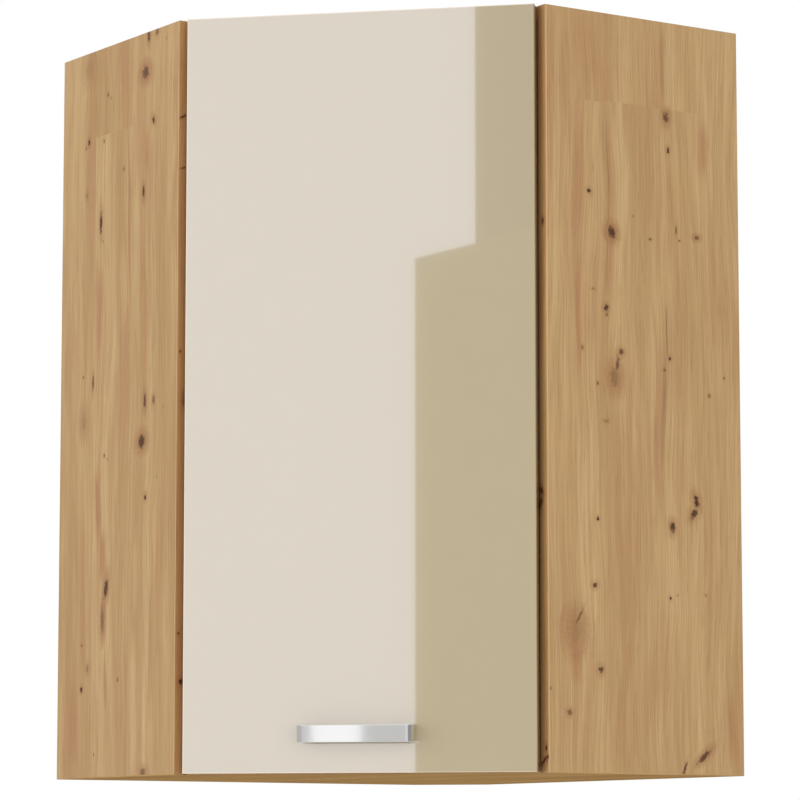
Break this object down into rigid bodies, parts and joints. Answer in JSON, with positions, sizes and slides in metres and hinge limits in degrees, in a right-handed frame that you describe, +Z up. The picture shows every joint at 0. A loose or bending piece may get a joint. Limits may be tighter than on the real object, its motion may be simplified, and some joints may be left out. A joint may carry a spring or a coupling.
{
  "type": "corner wall cabinet",
  "caption": "Diagonal corner wall cabinet for a kitchen, with oak-decor sides, a high-gloss side-hung door across the corner, a bow handle, inner shelves and adjustable wall hangers.",
  "frame": {"origin": "centre of the 600 x 600 mm square footprint, on the cabinet's underside", "axes": "+Z up. The left wall is the plane x = -0.3 m and the right wall the plane y = +0.3 m, so the room corner is at -X +Y and the door faces +X -Y at 45 degrees."},
  "size_m": [0.6, 0.6, 0.9],
  "materials": {
    "side_wood": "matt decor of butt-jointed oak lamellas with knots, upright grain",
    "edge_band": "matt edge band in the same oak decor",
    "carcass_wood": "matt oak decor",
    "back_board": "thin fibreboard, painted on the room side",
    "dowel_wood": "plain beech",
    "door_gloss": "high-gloss beige front",
    "handle_metal": "satin to polished metal",
    "hinge_steel": "nickel-plated steel",
    "fastener_steel": "bright zinc-plated steel",
    "zinc": "zinc die casting",
    "hanger_plastic": "matt plastic",
    "cap_plastic": "matt plastic",
    "hanger_steel": "bright zinc-plated steel",
    "bumper_rubber": "soft translucent rubber"
  },
  "bodies": {
    "root": {"side_panel_left": "side_wood", "side_panel_right": "side_wood", "side_front_band_left": "edge_band", "side_front_band_right": "edge_band", "side_lower_band_left": "edge_band", "side_lower_band_right": "edge_band", "bottom_panel": "carcass_wood", "top_panel": "carcass_wood", "panel_front_bands": "edge_band", "corner_board": "carcass_wood", "wood_dowels": "dowel_wood", "cam_housings": "zinc", "cam_bolts": "fastener_steel", "shelf_lower": "carcass_wood", "shelf_upper": "carcass_wood", "shelf_front_bands": "edge_band", "shelf_pins": "fastener_steel", "hinge_arms": "hinge_steel", "hinge_plates": "hinge_steel", "plate_screws": "fastener_steel", "arm_lock_screws": "fastener_steel", "arm_adjust_screws": "fastener_steel", "back_panel_left": "back_board", "back_panel_right": "back_board", "hanger_height_screws": "fastener_steel", "hanger_screws": "fastener_steel", "hanger_housing_left": "hanger_plastic", "hanger_cap_left": "cap_plastic", "hanger_housing_right": "hanger_plastic", "hanger_cap_right": "cap_plastic"},
    "door": {"door_panel": "door_gloss", "door_edge_bands": "door_gloss", "handle": "handle_metal", "handle_screws": "fastener_steel", "door_bumpers": "bumper_rubber", "hinge_cups": "hinge_steel", "hinge_pins": "fastener_steel", "hinge_springs": "fastener_steel", "cup_screws": "fastener_steel"},
    "left_slider": {"hanger_slider_left": "hanger_plastic", "hanger_depth_screw_left": "fastener_steel"},
    "left_hook": {"hanger_hook_left": "hanger_steel", "wall_plate_left": "hanger_steel"},
    "right_slider": {"hanger_slider_right": "hanger_plastic", "hanger_depth_screw_right": "fastener_steel"},
    "right_hook": {"hanger_hook_right": "hanger_steel", "wall_plate_right": "hanger_steel"}
  },
  "joints": [
    {"name": "door_hinge", "type": "hinge", "parent": "root", "child": "door", "pos_m": [-0.00063, -0.28647, 0.45], "axis": [0, 0, -1], "range_deg": [0, 95]},
    {"name": "left_height", "type": "slide", "parent": "root", "child": "left_slider", "axis": [0, 0, 1], "range_m": [-0.007, 0.007]},
    {"name": "left_depth", "type": "slide", "parent": "left_slider", "child": "left_hook", "axis": [-1, 0, 0], "range_m": [0, 0.008]},
    {"name": "right_height", "type": "slide", "parent": "root", "child": "right_slider", "axis": [0, 0, 1], "range_m": [-0.007, 0.007]},
    {"name": "right_depth", "type": "slide", "parent": "right_slider", "child": "right_hook", "axis": [0, 1, 0], "range_m": [0, 0.008]}
  ]
}
